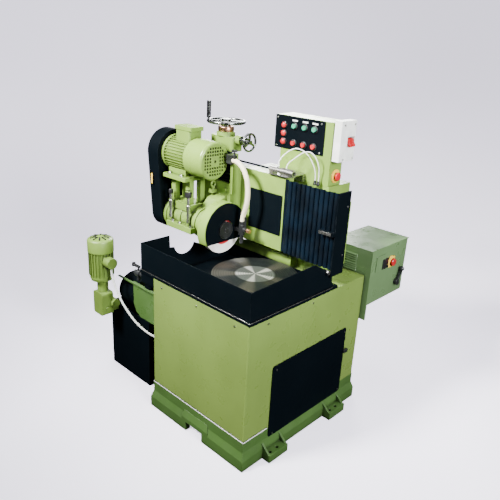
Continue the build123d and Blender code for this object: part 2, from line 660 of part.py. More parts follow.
def belt_guard():
    case = belt_shape(74, 95, (-590, -520)) - block((-600, -510), (-120, 60), (600, GUARD_FOOT))
    case -= belt_shape(71, 92, (-587, -523)) - block((-600, -510), (-120, 60), (600, GUARD_FOOT + 3))
    for z in (SPINDLE_Z, MOTOR_Z):
        case -= rod("X", (SPINDLE_Y, z), 30, (-524, -519))
    return case


GUARD_R, GUARD_CUT = 114, 698


def wheel_guard():
    """Drum-shaped hood round the wheel, cut off straight below, with an arm to the spindle housing."""
    at = (SPINDLE_Y, SPINDLE_Z + 2)
    hood = tube("X", at, GUARD_R, GUARD_R - 5, (-236, -190))
    hood += tube("X", at, GUARD_R, 24, (-236, -232)) + tube("X", at, GUARD_R, 39, (-193, -190))
    hood -= block((-250, -180), (-200, 150), (SPINDLE_Z - 130, GUARD_CUT))
    return hood + tube("X", (SPINDLE_Y, SPINDLE_Z), 50, 24, (-245, -235))


def spindle_shaft():
    shaft = rod("X", (SPINDLE_Y, SPINDLE_Z), SHAFT_R, (-578, WHEEL_FRONT))
    return shaft + drive_pulley(SPINDLE_Z, SPINDLE_PULLEY_R)


def grinding_wheel():
    return tube("X", (SPINDLE_Y, SPINDLE_Z), WHEEL_R, 25, (WHEEL_FRONT - WHEEL_W, WHEEL_FRONT))


def wheel_hub():
    at = (SPINDLE_Y, SPINDLE_Z)
    hub = tube("X", at, 36, SHAFT_R, (-231, -226)) + tube("X", at, 25, SHAFT_R, (-226, WHEEL_FRONT))
    hub += rod("X", at, 36, (WHEEL_FRONT, -185)) + rod("X", at, 11, (-185, -179))
    return hub


# ---- coolant feed on the wheelhead ----
HOSE_R = 10
HOSE_ROUTE = [(-218, 24, 1026), (-193, 24, 1026), (-160, 24, 1006), (-137, 24, 970), (-127, 24, 930), (-126, 24, 885),
              (-135, 24, 840), (-150, 24, 803), (-150, 24, 771)]


TAP_HANDLE_X = -212


def coolant_nozzle():
    """Feed tap at the hose's top and the shut-off valve with its nozzle at the bottom, each on a bracket."""
    x = TAP_HANDLE_X
    top = block((-246, -218), (13, 35), (1012, 1048)) + block((-246, x + 9), (15, 33), (1036, 1048))
    top += rod("Z", (x, 24), 7, (1048, 1053))
    valve = rod("Z", (-150, 24), 13, (728, 771)) + rod("X", (24, 752), 9, (-150, -124))
    valve += rod("Z", (-150, 24), 8, (690, 728)) + block((-190, -150), (16, 32), (738, 752))
    valve += rod("Z", (-132, 24), 3.5, (752, 806))
    return group([top, valve])


def hose_tap_handle():
    x = TAP_HANDLE_X
    stem = rod("Z", (x, 24), 4, (1053.5, 1066))
    return stem + rod("X", (24, 1066), 4, (x - 13, x + 13)) + rod("Y", (x, 1066), 4, (11, 37))


def nozzle_knob():
    return rod("X", (24, 752), 9, (-118, -104)) + rod("X", (24, 752), 4, (-123.5, -118))


def way_cover():
    """Short pleated cover over the vertical ways, between the slide and the gear case."""
    steps = 8
    low, high = 920.5, 1049.5
    pitch = (high - low) / steps
    front = []
    for k in range(steps):
        front.append((53, low + pitch * k))
        front.append((49.5, low + pitch * (k + 0.5)))
    outline = front + [(53, high), (55, high), (55, low)]
    return prism("X", outline, (-400, -244))


SEPARATOR_ROUTE = [(-562, -346, 535), (-560, -346, 506), (-540, -345, 462), (-511, -341, 413), (-474, -332, 366),
                   (-434, -322, 328), (-388, -310, 300), (-342, -292, 280), (-308, -262, 262), (-283, -262, 262)]


NODES = {
    "base_casting": base_casting,
    "cabinet_shell": cabinet_shell,
    "access_cover": access_cover,
    "panel_screws": panel_screws,
    "coolant_pan": coolant_pan,
    "tray_tap_lever": tray_tap_lever,
    "chuck_plate": chuck_plate,
    "chuck_spindle": chuck_spindle,
    "internal_drives": internal_drives,
    "rear_column": rear_column,
    "bellows": bellows,
    "bellows_end_plate": bellows_end_plate,
    "sensor_bracket": sensor_bracket,
    "control_pedestal": control_pedestal,
    "control_panel": control_panel,
    "panel_fittings": panel_fittings,
    "mcb_box": mcb_box,
    "mcb_toggle": mcb_toggle,
    "electrical_cabinet": electrical_cabinet,
    "isolator_lever": isolator_lever,
    "cover_latch": cover_latch,
    "separator_tank": separator_tank,
    "separator_trough": separator_trough,
    "drum_guard": drum_guard,
    "separator_drum": separator_drum,
    "separator_gearmotor": separator_gearmotor,
    "carriage": carriage,
    "carriage_fittings": carriage_fittings,
    "elevating_housing": elevating_housing,
    "elevating_screw": elevating_screw,
    "elevating_handwheel": elevating_handwheel,
    "fine_feed_handwheel": fine_feed_handwheel,
    "head_slide": head_slide,
    "spindle_housing": spindle_housing,
    "motor_bracket": motor_bracket,
    "motor_frame": motor_frame,
    "motor_fan_cover": motor_fan_cover,
    "motor_rotor": motor_rotor,
    "drive_belt": drive_belt,
    "belt_guard": belt_guard,
    "wheel_guard": wheel_guard,
    "spindle_shaft": spindle_shaft,
    "grinding_wheel": grinding_wheel,
    "wheel_hub": wheel_hub,
    "coolant_nozzle": coolant_nozzle,
    "hose_tap_handle": hose_tap_handle,
    "nozzle_knob": nozzle_knob,
    "way_cover": way_cover,
}

os.makedirs("parts", exist_ok=True)
solids = {name: make() for name, make in NODES.items()}
for k, x in enumerate(BUTTON_COLUMNS, start=1):
    solids[f"start_button_{k}"] = push_button(x, START_Z)
    solids[f"stop_button_{k}"] = push_button(x, STOP_Z)
for name, place in ESTOPS.items():
    solids[name] = estop(*place)
for name, route in SENSOR_CABLES.items():
    solids[name] = cord(name, route, SENSOR_CABLE_R)
solids["coolant_hose"] = cord("coolant_hose", HOSE_ROUTE, HOSE_R)
solids["separator_cable"] = cord("separator_cable", SEPARATOR_ROUTE, SEPARATOR_CABLE_R)
for name, solid in solids.items():
    export_step(solid, f"parts/{name}.step")
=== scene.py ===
from math import cos, pi, radians, sin

import bmesh
import bpy
from mathutils import Matrix, Vector


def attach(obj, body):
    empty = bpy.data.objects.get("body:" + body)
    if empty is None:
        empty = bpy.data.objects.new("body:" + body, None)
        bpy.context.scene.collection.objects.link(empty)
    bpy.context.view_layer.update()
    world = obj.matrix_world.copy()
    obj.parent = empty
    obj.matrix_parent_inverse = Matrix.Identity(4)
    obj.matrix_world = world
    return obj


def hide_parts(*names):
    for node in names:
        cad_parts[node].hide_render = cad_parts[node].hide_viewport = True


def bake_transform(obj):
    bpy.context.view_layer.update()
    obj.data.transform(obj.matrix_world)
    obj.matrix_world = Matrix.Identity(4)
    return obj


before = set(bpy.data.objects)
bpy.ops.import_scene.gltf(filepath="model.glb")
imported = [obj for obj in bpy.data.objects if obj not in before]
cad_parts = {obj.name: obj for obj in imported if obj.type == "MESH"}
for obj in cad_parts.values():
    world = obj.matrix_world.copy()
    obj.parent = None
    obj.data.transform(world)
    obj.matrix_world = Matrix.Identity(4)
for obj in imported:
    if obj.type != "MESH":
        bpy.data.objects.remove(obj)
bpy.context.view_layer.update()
MM = 0.001

# ---- colours, linear ----
GREEN = (0.158, 0.262, 0.044)
# Painted shade: the casing's green is the machine's green made darker, as the light falls off lower down.
SHADED_CASING_GREEN = (0.138, 0.212, 0.046)
# A cooler green of the electrical cabinet's own paint, also made darker as painted shade.
COOL_SHADED_GREEN = (0.105, 0.180, 0.078)
# Painted shade: a much darker copy of the green for the base and the separator trough, as the light falls off
# towards the floor.
LOW_SHADE_GREEN = (0.052, 0.112, 0.026)
BLACK = (0.0015, 0.0030, 0.0045)
CREAM = (0.70, 0.63, 0.44)
PALE_GREY = (0.66, 0.68, 0.66)
WHITE = (0.78, 0.80, 0.79)
RED = (0.42, 0.012, 0.016)
BUTTON_GREEN = (0.03, 0.32, 0.18)
YELLOW = (0.75, 0.48, 0.05)
COPPER = (0.62, 0.33, 0.20)
STEEL = (0.52, 0.52, 0.50)
BELLOWS_BLUE = (0.0008, 0.0030, 0.0062)

# ---- places, in millimetres ----
CHUCK_AT = (-12, -31)
CHUCK_INNER_R = 80
SPINDLE = (-31, 747)
MOTOR = (-31, 1019)
SCREW = (-328, 84)
SEPARATOR = (-640, -346)
STUDS_Y = -101
LEFT_STUD, RIGHT_STUD = -462, -346
PANEL_FACE = 196
CABINET_FACE = 286
FRONT, SIDE = -346, 265
BASE_TOP = 118
PAN_RIM = 606


# ---- node helpers ----
class Surface:
    """A material with short calls for the nodes that the surfaces below share."""

    def __init__(self, name, metallic=0.0, roughness=0.5):
        self.material = bpy.data.materials.new(name)
        self.material.use_nodes = True
        self.tree = self.material.node_tree
        self.shader = self.tree.nodes["Principled BSDF"]
        self.shader.inputs["Metallic"].default_value = metallic
        self.shader.inputs["Roughness"].default_value = roughness
        self.place = self.node("ShaderNodeTexCoord").outputs["Object"]

    def node(self, kind, **settings):
        made = self.tree.nodes.new(kind)
        for key, value in settings.items():
            setattr(made, key, value)
        return made

    def link(self, source, target):
        self.tree.links.new(source, target)

    def feed(self, target, value):
        if isinstance(value, bpy.types.NodeSocket):
            self.link(value, target)
        else:
            target.default_value = value

    def noise(self, scale, detail=3.0, stretch=None):
        place = self.place
        if stretch:
            mapping = self.node("ShaderNodeMapping")
            mapping.inputs["Scale"].default_value = stretch
            self.link(place, mapping.inputs["Vector"])
            place = mapping.outputs["Vector"]
        made = self.node("ShaderNodeTexNoise")
        made.inputs["Scale"].default_value = scale
        made.inputs["Detail"].default_value = detail
        self.link(place, made.inputs["Vector"])
        return made.outputs["Fac"]

    def remap(self, value, low, high, to_low, to_high):
        made = self.node("ShaderNodeMapRange", interpolation_type="SMOOTHSTEP")
        for socket, number in zip(("From Min", "From Max", "To Min", "To Max"), (low, high, to_low, to_high)):
            made.inputs[socket].default_value = number
        self.link(value, made.inputs["Value"])
        return made.outputs["Result"]

    def math(self, operation, a, b=0.0):
        made = self.node("ShaderNodeMath", operation=operation)
        self.feed(made.inputs[0], a)
        self.feed(made.inputs[1], b)
        return made.outputs["Value"]

    def mix(self, share, low, high):
        made = self.node("ShaderNodeMix", data_type="RGBA")
        self.feed(made.inputs["Factor"], share)
        for socket, colour in zip((made.inputs[6], made.inputs[7]), (low, high)):
            self.feed(socket, colour if isinstance(colour, bpy.types.NodeSocket) else (*colour, 1.0))
        return made.outputs[2]

    def rounded_normal(self, radius):
        made = self.node("ShaderNodeBevel", samples=4)
        made.inputs["Radius"].default_value = radius
        return made.outputs["Normal"]

    def edge(self, rounded, strength):
        """1 along outside edges and 0 on flat faces, from how far the rounded normal leans."""
        flat = self.node("ShaderNodeNewGeometry").outputs["Normal"]
        dot = self.node("ShaderNodeVectorMath", operation="DOT_PRODUCT")
        self.link(rounded, dot.inputs[0])
        self.link(flat, dot.inputs[1])
        return self.remap(dot.outputs["Value"], 1.0 - strength, 0.999, 1.0, 0.0)

    def crease_shade(self, reach, low=0.35):
        """Painted shade: 1 in the open, falling to low in corners and between fins, from an occlusion test on
        nearby geometry.
        """
        made = self.node("ShaderNodeAmbientOcclusion", samples=6)
        made.inputs["Distance"].default_value = reach
        return self.remap(made.outputs["AO"], 0.25, 0.85, low, 1.0)

    def darken(self, colour, share):
        made = self.node("ShaderNodeVectorMath", operation="SCALE")
        self.link(colour, made.inputs[0])
        self.link(share, made.inputs["Scale"])
        return made.outputs["Vector"]

    def bump(self, height, distance, strength=1.0, normal=None):
        made = self.node("ShaderNodeBump")
        made.inputs["Distance"].default_value = distance
        made.inputs["Strength"].default_value = strength
        self.link(height, made.inputs["Height"])
        if normal is not None:
            self.link(normal, made.inputs["Normal"])
        return made.outputs["Normal"]

    def finish(self, colour, roughness=None, normal=None):
        self.feed(self.shader.inputs["Base Color"], colour)
        if roughness is not None:
            self.feed(self.shader.inputs["Roughness"], roughness)
        if normal is not None:
            self.link(normal, self.shader.inputs["Normal"])
        return self.material


def scaled(colour, factor):
    """A colour made darker or paler, held at 1."""
    return tuple(min(1.0, c * factor) for c in colour)


# ---- materials ----
def enamel(name, colour, gloss=0.30, peel=0.00006, wear_colour=None, shine=0.5):
    """Sprayed enamel on sheet or machined metal: orange peel, faint streaks, painted shade in the creases,
    rubbed edges.
    """
    s = Surface(name)
    patches = s.remap(s.noise(4.0, 4.0), 0.35, 0.68, 0.0, 1.0)
    streaks = s.noise(9.0, 3.0, stretch=(1.0, 1.0, 0.12))
    tone = s.mix(patches, scaled(colour, 0.92), scaled(colour, 1.06))
    tone = s.mix(s.remap(streaks, 0.50, 0.80, 0.0, 0.14), tone, scaled(colour, 0.72))
    rounded = s.rounded_normal(0.0014)
    scuffs = s.remap(s.noise(55.0, 4.0), 0.45, 0.62, 0.0, 1.0)
    worn = s.math("MULTIPLY", s.edge(rounded, 0.22), scuffs)
    tone = s.mix(s.math("MULTIPLY", worn, 0.55), tone, wear_colour or scaled(colour, 1.7))
    # Painted shade: the colour is darker in corners and creases.
    tone = s.darken(tone, s.crease_shade(0.030, 0.30))
    rough = s.remap(s.noise(17.0, 3.0), 0.3, 0.7, gloss - 0.05, gloss + 0.10)
    normal = s.bump(s.noise(420.0, 2.0), peel, 0.6, rounded)
    s.shader.inputs["Specular IOR Level"].default_value = shine
    return s.finish(tone, rough, normal)


def painted_casting(name, colour):
    """Filled and painted iron: a slightly lumpy skin under the enamel, painted shade in the hollows."""
    s = Surface(name)
    patches = s.remap(s.noise(7.0, 4.0), 0.35, 0.68, 0.0, 1.0)
    tone = s.mix(patches, scaled(colour, 0.86), scaled(colour, 1.06))
    rounded = s.rounded_normal(0.0022)
    scuffs = s.remap(s.noise(70.0, 4.0), 0.45, 0.6, 0.0, 1.0)
    worn = s.math("MULTIPLY", s.edge(rounded, 0.25), scuffs)
    tone = s.mix(s.math("MULTIPLY", worn, 0.5), tone, scaled(colour, 1.6))
    # Painted shade: the colour is darker in the hollows.
    tone = s.darken(tone, s.crease_shade(0.030, 0.22))
    lumps = s.bump(s.noise(60.0, 3.0), 0.0006, 0.5, rounded)
    normal = s.bump(s.noise(380.0, 2.0), 0.00012, 0.5, lumps)
    rough = s.remap(s.noise(24.0, 3.0), 0.3, 0.7, 0.28, 0.48)
    return s.finish(tone, rough, normal)


def turned_steel(name, colour, rough=0.26, axis_stretch=(1.0, 1.0, 14.0)):
    """Bright machined metal: fine marks, drawn into lines across the most stretched axis, and stains."""
    s = Surface(name, metallic=1.0)
    lines = s.noise(160.0, 3.0, stretch=axis_stretch)
    tone = s.mix(s.remap(lines, 0.3, 0.7, 0.0, 1.0), scaled(colour, 0.82), scaled(colour, 1.12))
    stain = s.remap(s.noise(11.0, 4.0), 0.55, 0.75, 0.0, 0.3)
    tone = s.mix(stain, tone, scaled(colour, 0.55))
    normal = s.bump(lines, 0.00005, 0.5, s.rounded_normal(0.0008))
    return s.finish(tone, s.remap(lines, 0.3, 0.7, rough - 0.06, rough + 0.12), normal)


def blackened(name, colour=(0.028, 0.030, 0.032)):
    """Blackened steel, rubbed to bare metal on its edges."""
    s = Surface(name, metallic=0.6)
    rounded = s.rounded_normal(0.0010)
    patches = s.remap(s.noise(40.0, 4.0), 0.35, 0.7, 0.0, 1.0)
    tone = s.mix(patches, scaled(colour, 0.7), scaled(colour, 1.5))
    tone = s.mix(s.math("MULTIPLY", s.edge(rounded, 0.2), 0.6), tone, (0.30, 0.30, 0.30))
    normal = s.bump(s.noise(300.0, 2.0), 0.00008, 0.5, rounded)
    return s.finish(tone, s.remap(s.noise(30.0), 0.3, 0.7, 0.26, 0.44), normal)


def ringed_chuck():
    """Ground chuck face: a bright middle in a dark rim, with concentric lines and five wedges of painted
    highlight round the centre.
    """
    line_pitch, band_pitch, glint_sector_count = 0.0016, 0.010, 5.0
    s = Surface("ringed_chuck", metallic=0.85)
    split = s.node("ShaderNodeSeparateXYZ")
    s.link(s.place, split.inputs["Vector"])
    dx = s.math("SUBTRACT", split.outputs["X"], CHUCK_AT[0] * MM)
    dy = s.math("SUBTRACT", split.outputs["Y"], CHUCK_AT[1] * MM)
    radius = s.math("SQRT", s.math("ADD", s.math("MULTIPLY", dx, dx), s.math("MULTIPLY", dy, dy)))
    rings = s.math("SINE", s.math("MULTIPLY", radius, 2 * pi / line_pitch))
    angle = s.math("ARCTAN2", dy, dx)
    glint_wander = s.math("MULTIPLY", s.noise(3.0, 1.0), 0.9)
    # Painted highlight: bright wedges by angle round the chuck's centre.
    glint_sectors = s.math("SINE", s.math("ADD", s.math("MULTIPLY", angle, glint_sector_count), glint_wander))
    painted_glint = s.remap(glint_sectors, 0.1, 1.0, 0.0, 1.0)
    inner = s.remap(radius, (CHUCK_INNER_R - 2) * MM, (CHUCK_INNER_R + 2) * MM, 1.0, 0.0)
    # The bright end of each of these two mixes is the painted highlight.
    face = s.mix(painted_glint, (0.20, 0.23, 0.21), (0.92, 0.93, 0.88))
    rim = s.mix(painted_glint, (0.022, 0.032, 0.032), (0.13, 0.13, 0.10))
    tone = s.mix(inner, rim, face)
    lines = s.remap(rings, -1.0, 1.0, 0.0, 1.0)
    tone = s.mix(s.math("MULTIPLY", lines, 0.25), tone, (0.12, 0.13, 0.13))
    tone = s.mix(s.remap(s.noise(5.0, 1.0), 0.45, 0.75, 0.0, 0.25), tone, (0.30, 0.20, 0.12))
    bands = s.math("SINE", s.math("MULTIPLY", radius, 2 * pi / band_pitch))
    tone = s.darken(tone, s.remap(bands, -0.6, 0.9, 0.60, 1.0))
    normal = s.bump(rings, 0.00005, 0.5)
    return s.finish(tone, s.remap(s.noise(30.0, 3.0), 0.3, 0.7, 0.44, 0.50), normal)


def abrasive():
    """White grinding wheel: a coarse grain, with faint reddish loading."""
    s = Surface("white_abrasive", roughness=0.92)
    grit = s.noise(900.0, 2.0)
    tone = s.mix(s.remap(grit, 0.4, 0.65, 0.0, 1.0), (0.86, 0.84, 0.82), (0.66, 0.63, 0.61))
    tone = s.mix(s.remap(s.noise(18.0, 4.0), 0.5, 0.8, 0.0, 0.5), tone, (0.55, 0.40, 0.38))
    return s.finish(tone, 0.92, s.bump(grit, 0.0004, 0.8))


def coated_cloth(name, colour):
    """Rubber-coated cloth: a fine weave under a dull, patchy skin."""
    thread_pitch = 0.0012
    s = Surface(name)
    split = s.node("ShaderNodeSeparateXYZ")
    s.link(s.place, split.inputs["Vector"])
    turns = 2 * pi / thread_pitch
    threads = [s.math("SINE", s.math("MULTIPLY", split.outputs[a], turns)) for a in ("X", "Z")]
    weave = s.math("MULTIPLY", threads[0], threads[1])
    patches = s.remap(s.noise(14.0, 4.0), 0.35, 0.7, 0.0, 1.0)
    tone = s.mix(patches, scaled(colour, 0.75), scaled(colour, 1.9))
    s.shader.inputs["Specular IOR Level"].default_value = 0.10
    normal = s.bump(weave, 0.00012, 0.4)
    return s.finish(tone, s.remap(s.noise(30.0), 0.3, 0.7, 0.38, 0.55), normal)


def moulded(name, colour, gloss=0.28):
    """Moulded plastic with a fine grain and softened edges."""
    s = Surface(name)
    tone = s.mix(s.remap(s.noise(26.0, 3.0), 0.35, 0.7, 0.0, 1.0), scaled(colour, 0.9), scaled(colour, 1.06))
    normal = s.bump(s.noise(700.0, 2.0), 0.00004, 0.5, s.rounded_normal(0.0008))
    return s.finish(tone, s.remap(s.noise(20.0), 0.3, 0.7, gloss - 0.05, gloss + 0.1), normal)


def hose_rubber(name, colour, rough=0.42):
    """Rubber or plastic sheath with dirt in patches."""
    s = Surface(name)
    dirt = s.remap(s.noise(30.0, 4.0), 0.45, 0.75, 0.0, 0.5)
    tone = s.mix(dirt, colour, scaled(colour, 0.62))
    return s.finish(tone, rough, s.bump(s.noise(240.0, 3.0), 0.00015, 0.5))


PAINT_GREEN = enamel("green_enamel", GREEN)
CASING_PAINT = enamel("casing_enamel", SHADED_CASING_GREEN)
CABINET_PAINT = enamel("cabinet_enamel", COOL_SHADED_GREEN)
# Painted shade: the separator's gearmotor takes the green made darker.
SHADED_DRIVE_CAST = painted_casting("drive_casting", scaled(GREEN, 0.88))
# Painted shade: the base and the trough take the darkened copy of the green.
SHADED_BASE_CAST = painted_casting("base_casting_paint", LOW_SHADE_GREEN)
SHADED_TROUGH_ENAMEL = enamel("shaded_green_enamel", LOW_SHADE_GREEN)
CAST_GREEN = painted_casting("green_casting", GREEN)
PAINT_BLACK = enamel("black_enamel", BLACK, gloss=0.45, wear_colour=(0.05, 0.06, 0.07), shine=0.03)
DARK_CAST = painted_casting("dark_casting", (0.02, 0.022, 0.022))
BRIGHT = turned_steel("turned_steel", STEEL)
BRIGHT_ROD = turned_steel("turned_rod", STEEL, axis_stretch=(14.0, 1.0, 1.0))
BLACKENED = blackened("blackened_steel")
WHEEL_RIM = turned_steel("polished_handwheel", (0.17, 0.18, 0.18), 0.2, axis_stretch=(1.0, 1.0, 1.0))
RINGED = ringed_chuck()
GRIT = abrasive()
CLOTH = coated_cloth("coated_cloth", BELLOWS_BLUE)
RUBBER = hose_rubber("belt_rubber", (0.012, 0.012, 0.012), 0.6)
CREAM_HOSE = hose_rubber("cream_hose", CREAM)
GREY_SHEATH = hose_rubber("grey_sheath", PALE_GREY)
WHITE_BOX = moulded("white_plastic", WHITE, 0.35)
RED_PLASTIC = moulded("red_plastic", RED)
GREEN_PLASTIC = moulded("green_plastic", BUTTON_GREEN)
YELLOW_PLASTIC = moulded("yellow_plastic", YELLOW, 0.35)
BLACK_PLASTIC = moulded("black_plastic", (0.012, 0.012, 0.013))
RING_COPPER = turned_steel("graduated_ring", COPPER)
WHITE_PAINT = enamel("white_enamel", WHITE)

NODE_MATERIALS = {
    "base_casting": SHADED_BASE_CAST, "cabinet_shell": CASING_PAINT,
    "access_cover": PAINT_BLACK, "panel_screws": BRIGHT,
    "coolant_pan": PAINT_BLACK, "tray_tap_lever": BLACKENED, "chuck_plate": RINGED, "chuck_spindle": BRIGHT,
    "internal_drives": DARK_CAST, "rear_column": CAST_GREEN, "bellows_end_plate": PAINT_BLACK,
    "sensor_bracket": BRIGHT_ROD, "control_pedestal": PAINT_GREEN, "control_panel": PAINT_BLACK,
    "mcb_box": WHITE_BOX, "mcb_toggle": RED_PLASTIC, "electrical_cabinet": CABINET_PAINT,
    "isolator_lever": BLACKENED, "cover_latch": BLACKENED, "separator_tank": PAINT_BLACK,
    "separator_trough": SHADED_TROUGH_ENAMEL, "drum_guard": PAINT_BLACK, "separator_drum": DARK_CAST,
    "separator_gearmotor": SHADED_DRIVE_CAST, "carriage": CAST_GREEN, "carriage_fittings": PAINT_BLACK,
    "elevating_housing": CAST_GREEN, "elevating_screw": BRIGHT, "elevating_handwheel": WHEEL_RIM,
    "fine_feed_handwheel": WHEEL_RIM, "head_slide": CAST_GREEN, "spindle_housing": CAST_GREEN,
    "motor_bracket": CAST_GREEN, "motor_frame": CAST_GREEN, "motor_fan_cover": PAINT_GREEN,
    "motor_rotor": DARK_CAST, "drive_belt": RUBBER, "belt_guard": PAINT_BLACK, "wheel_guard": PAINT_GREEN,
    "spindle_shaft": BRIGHT, "grinding_wheel": GRIT, "wheel_hub": BLACKENED, "coolant_nozzle": BLACKENED,
    "hose_tap_handle": BLACKENED, "nozzle_knob": RING_COPPER,
}


def dress_nodes():
    """Gives every CAD node that stays its finished material."""
    for name, material in NODE_MATERIALS.items():
        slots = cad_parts[name].data.materials
        slots.clear()
        slots.append(material)
    for k in (1, 2, 3):
        for kind, material in (("start", GREEN_PLASTIC), ("stop", RED_PLASTIC)):
            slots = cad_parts[f"{kind}_button_{k}"].data.materials
            slots.clear()
            slots.append(material)


# ---- mesh helpers; sizes come in millimetres ----
def add_piece(name, mesh_build, material, body, smooth=True):
    """Makes an object from a mesh in progress. body is None for a piece that is left unattached to any body.
    """
    mesh = bpy.data.meshes.new(name)
    mesh_build.to_mesh(mesh)
    mesh_build.free()
    mesh.materials.append(material)
    for face in mesh.polygons:
        face.use_smooth = smooth
    piece = bpy.data.objects.new(name, mesh)
    bpy.context.scene.collection.objects.link(piece)
    if smooth:
        bpy.context.view_layer.objects.active = piece
        piece.select_set(True)
        bpy.ops.object.shade_smooth_by_angle(angle=radians(35))
        piece.select_set(False)
    if body:
        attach(piece, body)
    return piece


AXIS_TURN = {"X": Matrix.Rotation(radians(90), 4, "Y"), "Y": Matrix.Rotation(radians(-90), 4, "X"),
             "Z": Matrix.Identity(4)}


def on_axis(axis, at, along):
    """The point a given way along an axis that passes through at."""
    places = {"X": (along, at[0], at[1]), "Y": (at[0], along, at[1]), "Z": (at[0], at[1], along)}
    return Vector(places[axis])


def lathe(build, axis, at, profile, steps=56, hollow=False):
    """Turns (position along the axis, radius) pairs round the axis through a point, into build.

    A hollow one joins its last pair to its first; any other is closed by a disc at each end.
    """
    rows = []
    turn = AXIS_TURN[axis]
    for along, radius in profile:
        ring = []
        for k in range(steps):
            a = 2 * pi * k / steps
            point = turn @ Vector((radius * cos(a), radius * sin(a), 0.0))
            ring.append(build.verts.new((point + on_axis(axis, at, along)) * MM))
        rows.append(ring)
    pairs = list(zip(rows, rows[1:]))
    if hollow:
        pairs.append((rows[-1], rows[0]))
    else:
        build.faces.new(reversed(rows[0]))
        build.faces.new(rows[-1])
    for low, high in pairs:
        for k in range(steps):
            j = (k + 1) % steps
            build.faces.new((low[k], low[j], high[j], high[k]))
    bmesh.ops.recalc_face_normals(build, faces=build.faces)


def turned(name, axis, at, profile, material, body, steps=56, hollow=False):
    """One piece turned round one axis."""
    build = bmesh.new()
    lathe(build, axis, at, profile, steps, hollow)
    return add_piece(name, build, material, body)


def soft_box(build, low, high, radius=1.0):
    """A block with softly bevelled edges, added to build."""
    part = bmesh.new()
    bmesh.ops.create_cube(part, size=1.0)
    centre = [(a + b) / 2 * MM for a, b in zip(low, high)]
    size = [(b - a) * MM for a, b in zip(low, high)]
    for v in part.verts:
        v.co = Vector([c + s * x for c, s, x in zip(centre, size, v.co)])
    bmesh.ops.bevel(part, geom=part.edges[:], offset=radius * MM, segments=3, profile=0.5, affect="EDGES")
    scratch = bpy.data.meshes.new("scratch")
    part.to_mesh(scratch)
    part.free()
    build.from_mesh(scratch)
    bpy.data.meshes.remove(scratch)


def plates(name, boxes, material, body, radius=0.6):
    """One piece made of several soft-edged blocks, each given by two corners."""
    build = bmesh.new()
    for low, high in boxes:
        soft_box(build, low, high, radius)
    return add_piece(name, build, material, body)


# ---- pleated covers ----
def pleat_wave(t):
    """Depth of a fold at t from 0 to 1 across one pleat: a broad round crest with narrow valleys."""
    return 1.0 - sin(pi * t) ** 0.5


def strip_mesh(name, rows, material, thick):
    """A thin closed sheet through rows of points; each row is a list along the second direction."""
    build = bmesh.new()
    sheets = []
    for offset in (0.0, thick):
        moved = [[(x * MM, (y + offset) * MM, z * MM) for x, y, z in row] for row in rows]
        sheets.append([[build.verts.new(place) for place in row] for row in moved])
    for sheet, flip in zip(sheets, (False, True)):
        for a, b in zip(sheet, sheet[1:]):
            for k in range(len(a) - 1):
                quad = (a[k], b[k], b[k + 1], a[k + 1])
                build.faces.new(tuple(reversed(quad)) if flip else quad)
    front, back = sheets
    for k in range(len(front[0]) - 1):
        build.faces.new((front[0][k + 1], back[0][k + 1], back[0][k], front[0][k]))
        build.faces.new((front[-1][k], back[-1][k], back[-1][k + 1], front[-1][k + 1]))
    for i in range(len(front) - 1):
        build.faces.new((front[i][0], back[i][0], back[i + 1][0], front[i + 1][0]))
        build.faces.new((front[i + 1][-1], back[i + 1][-1], back[i][-1], front[i][-1]))
    bmesh.ops.recalc_face_normals(build, faces=build.faces)
    return add_piece(name, build, material, None)


def bellows():
    """Pleated cover of the carriage's ways: a flat flange at the carriage end, a slightly uneven top."""
    left, right, front, depth, pleats, steps = 22.0, 265.0, 88.0, 9.0, 11, 10
    heights, flange_left, sagging_above = (684, 760, 834, 910, 983), 4.0, 900
    pitch = (right - left) / pleats
    rows = [[(x, front + depth + 2, z) for z in heights] for x in (flange_left, left - 1)]
    for k in range(pleats * steps + 1):
        t = (k % steps) / steps
        sag = 1.2 * sin(2.1 * (k // steps))
        x, y = left + pitch * k / steps, front + depth * pleat_wave(t)
        rows.append([(x, y, z + sag * (z > sagging_above)) for z in heights])
    piece = strip_mesh("bellows_cloth", rows, CLOTH, 2.0)
    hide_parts("bellows")
    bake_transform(piece)


def way_cover():
    """Short pleated cover over the vertical ways, from the head slide up."""
    low, high, front, depth, pleats, steps = 920.8, 1049.2, 49.8, 3.2, 8, 8
    edges = (-399, -322, -245)
    pitch = (high - low) / pleats
    rows = []
    for k in range(pleats * steps + 1):
        t = (k % steps) / steps
        y, z = front + depth * pleat_wave(t), low + pitch * k / steps
        rows.append([(x, y, z) for x in edges])
    piece = strip_mesh("way_cover_cloth", rows, CLOTH, 1.6)
    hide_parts("way_cover")
    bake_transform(piece)


# ---- cords ----
def cord(name, node, points, diameter, body, material):
    """A flexible cord as a smooth NURBS line through its route's control points, in metres."""
    curve = bpy.data.curves.new(name, "CURVE")
    curve.dimensions = "3D"
    curve.bevel_depth = diameter / 2
    curve.bevel_resolution = 8
    curve.resolution_u = 12
    curve.use_fill_caps = True
    spline = curve.splines.new("NURBS")
    spline.points.add(len(points) - 1)
    for point, place in zip(spline.points, points):
        point.co = (*place, 1.0)
    spline.order_u = 3
    spline.use_endpoint_u = True
    curve.materials.append(material)
    piece = bpy.data.objects.new(name, curve)
    bpy.context.scene.collection.objects.link(piece)
    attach(piece, body)
    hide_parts(node)


